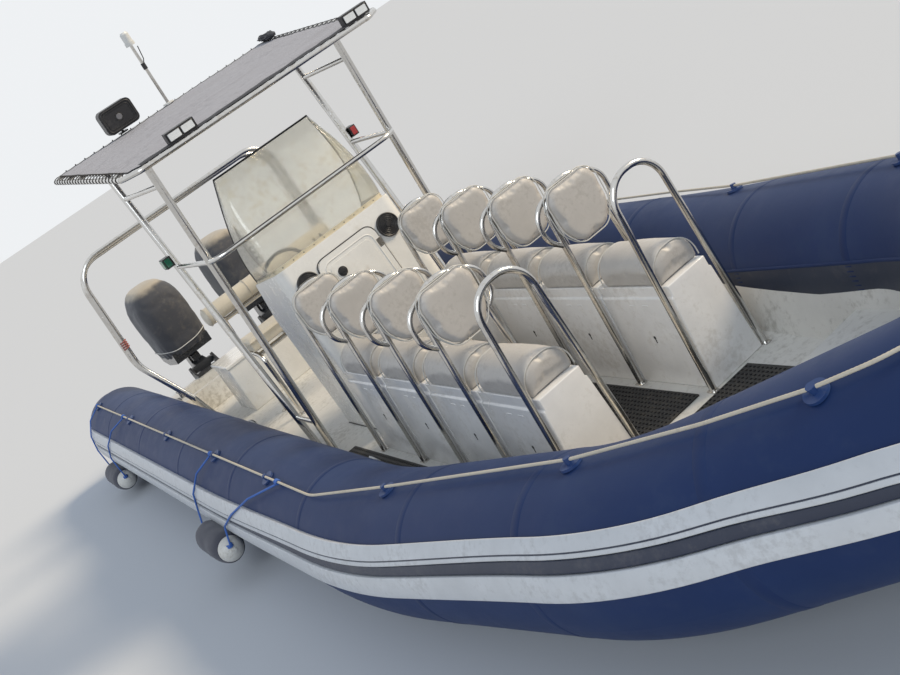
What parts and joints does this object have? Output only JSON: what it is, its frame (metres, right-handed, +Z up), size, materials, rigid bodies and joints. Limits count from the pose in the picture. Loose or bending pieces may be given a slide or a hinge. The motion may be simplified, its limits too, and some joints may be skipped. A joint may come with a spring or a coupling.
{
  "type": "rigid inflatable passenger boat",
  "caption": "Rigid inflatable passenger boat with rows of straddle seats, a console under a tube-framed canopy, a stern arch and covered outboard engines.",
  "frame": {"origin": "on the waterline, on the centre plane, about midships", "axes": "+X to the bow, +Y to port, +Z up"},
  "size_m": [10.0291, 3.2555, 3.8727],
  "materials": {
    "hull_gelcoat": "gloss",
    "collar_fabric": "satin",
    "strake_pale": "satin",
    "strake_dark": "satin",
    "liner_gelcoat": "gloss",
    "pod_gelcoat": "gloss",
    "mat_rubber": "matte",
    "seat_vinyl": "satin",
    "bolster_vinyl": "satin",
    "stainless": "polished",
    "clear_sheet": "gloss",
    "black_plastic": "matte",
    "white_plastic": "gloss",
    "canopy_fabric": "matte",
    "engine_metal": "satin",
    "cover_fabric": "matte",
    "prop_steel": "polished",
    "fender_cloth": "matte",
    "blue_rope": "matte",
    "line_rope": "matte",
    "patch_rubber": "satin"
  },
  "bodies": {
    "boat": {"hull": "hull_gelcoat", "collar_port": "collar_fabric", "collar_starboard": "collar_fabric", "collar_bow": "collar_fabric", "strake_ribs": "strake_pale", "strake_band": "strake_dark", "deck_liner": "liner_gelcoat", "bow_deck": "liner_gelcoat", "floor_mats": "mat_rubber", "seat_pods_port": "pod_gelcoat", "seat_pods_starboard": "pod_gelcoat", "seat_cushions_port": "seat_vinyl", "seat_cushions_starboard": "seat_vinyl", "seat_hoops_port": "stainless", "seat_hoops_starboard": "stainless", "backrest_pads_port": "seat_vinyl", "backrest_pads_starboard": "seat_vinyl", "console": "pod_gelcoat", "windscreen": "clear_sheet", "console_speakers": "black_plastic", "dash_panel": "black_plastic", "canopy_legs": "stainless", "canopy_frame": "stainless", "canopy_cloth": "canopy_fabric", "lamp_bars": "black_plastic", "loudhailer": "black_plastic", "mast_light": "white_plastic", "side_lights": "black_plastic", "helm_seat_frame": "stainless", "helm_seat_cushions": "bolster_vinyl", "stern_arch": "stainless", "stern_locker": "pod_gelcoat", "engine_well": "liner_gelcoat", "engine_brackets": "engine_metal", "lifelines": "line_rope", "line_patches": "patch_rubber", "fenders": "fender_cloth", "fender_lines": "blue_rope", "bow_eye": "stainless", "cleats": "stainless", "air_valves": "white_plastic"},
    "hatch": {"console_hatch": "pod_gelcoat"},
    "lid": {"locker_lid": "pod_gelcoat"},
    "wheel": {"steering_wheel": "black_plastic"},
    "tilt_port": {"engine_swivel_port": "engine_metal"},
    "motor_port": {"engine_port": "engine_metal", "engine_cover_port": "cover_fabric"},
    "prop_port": {"propeller_port": "prop_steel"},
    "tilt_starboard": {"engine_swivel_starboard": "engine_metal"},
    "motor_starboard": {"engine_starboard": "engine_metal", "engine_cover_starboard": "cover_fabric"},
    "prop_starboard": {"propeller_starboard": "prop_steel"}
  },
  "joints": [
    {"name": "hatch_hinge", "type": "hinge", "parent": "boat", "child": "hatch", "pos_m": [0.03492, 0.228, 1.09772], "axis": [-0.1139, 0, 0.9935], "range_deg": [0, 80]},
    {"name": "lid_hinge", "type": "hinge", "parent": "boat", "child": "lid", "pos_m": [-2.284, 0, 0.706], "axis": [0, 1, 0], "range_deg": [0, 85]},
    {"name": "wheel_turn", "type": "hinge", "parent": "boat", "child": "wheel", "pos_m": [-0.6197, -0.2, 1.30182], "axis": [-0.9582, 0, 0.286], "range_deg": [-540, 540]},
    {"name": "tilt_port", "type": "hinge", "parent": "boat", "child": "tilt_port", "pos_m": [-3.87, 0.4, 0.54], "axis": [0, 1, 0], "range_deg": [0, 50]},
    {"name": "steer_port", "type": "hinge", "parent": "tilt_port", "child": "motor_port", "pos_m": [-3.925, 0.4, 0.37], "axis": [0, 0, 1], "range_deg": [-25, 25]},
    {"name": "prop_port", "type": "hinge", "parent": "motor_port", "child": "prop_port", "pos_m": [-4.31, 0.4, -0.47], "axis": [1, 0, 0], "continuous": true},
    {"name": "tilt_starboard", "type": "hinge", "parent": "boat", "child": "tilt_starboard", "pos_m": [-3.87, -0.4, 0.54], "axis": [0, 1, 0], "range_deg": [0, 50]},
    {"name": "steer_starboard", "type": "hinge", "parent": "tilt_starboard", "child": "motor_starboard", "pos_m": [-3.925, -0.4, 0.37], "axis": [0, 0, 1], "range_deg": [-25, 25]},
    {"name": "prop_starboard", "type": "hinge", "parent": "motor_starboard", "child": "prop_starboard", "pos_m": [-4.31, -0.4, -0.47], "axis": [1, 0, 0], "continuous": true}
  ],
  "couplings": [
    {"joint": "steer_starboard", "follows": "steer_port", "ratio": 1},
    {"joint": "wheel_turn", "follows": "steer_port", "ratio": -21.6}
  ]
}
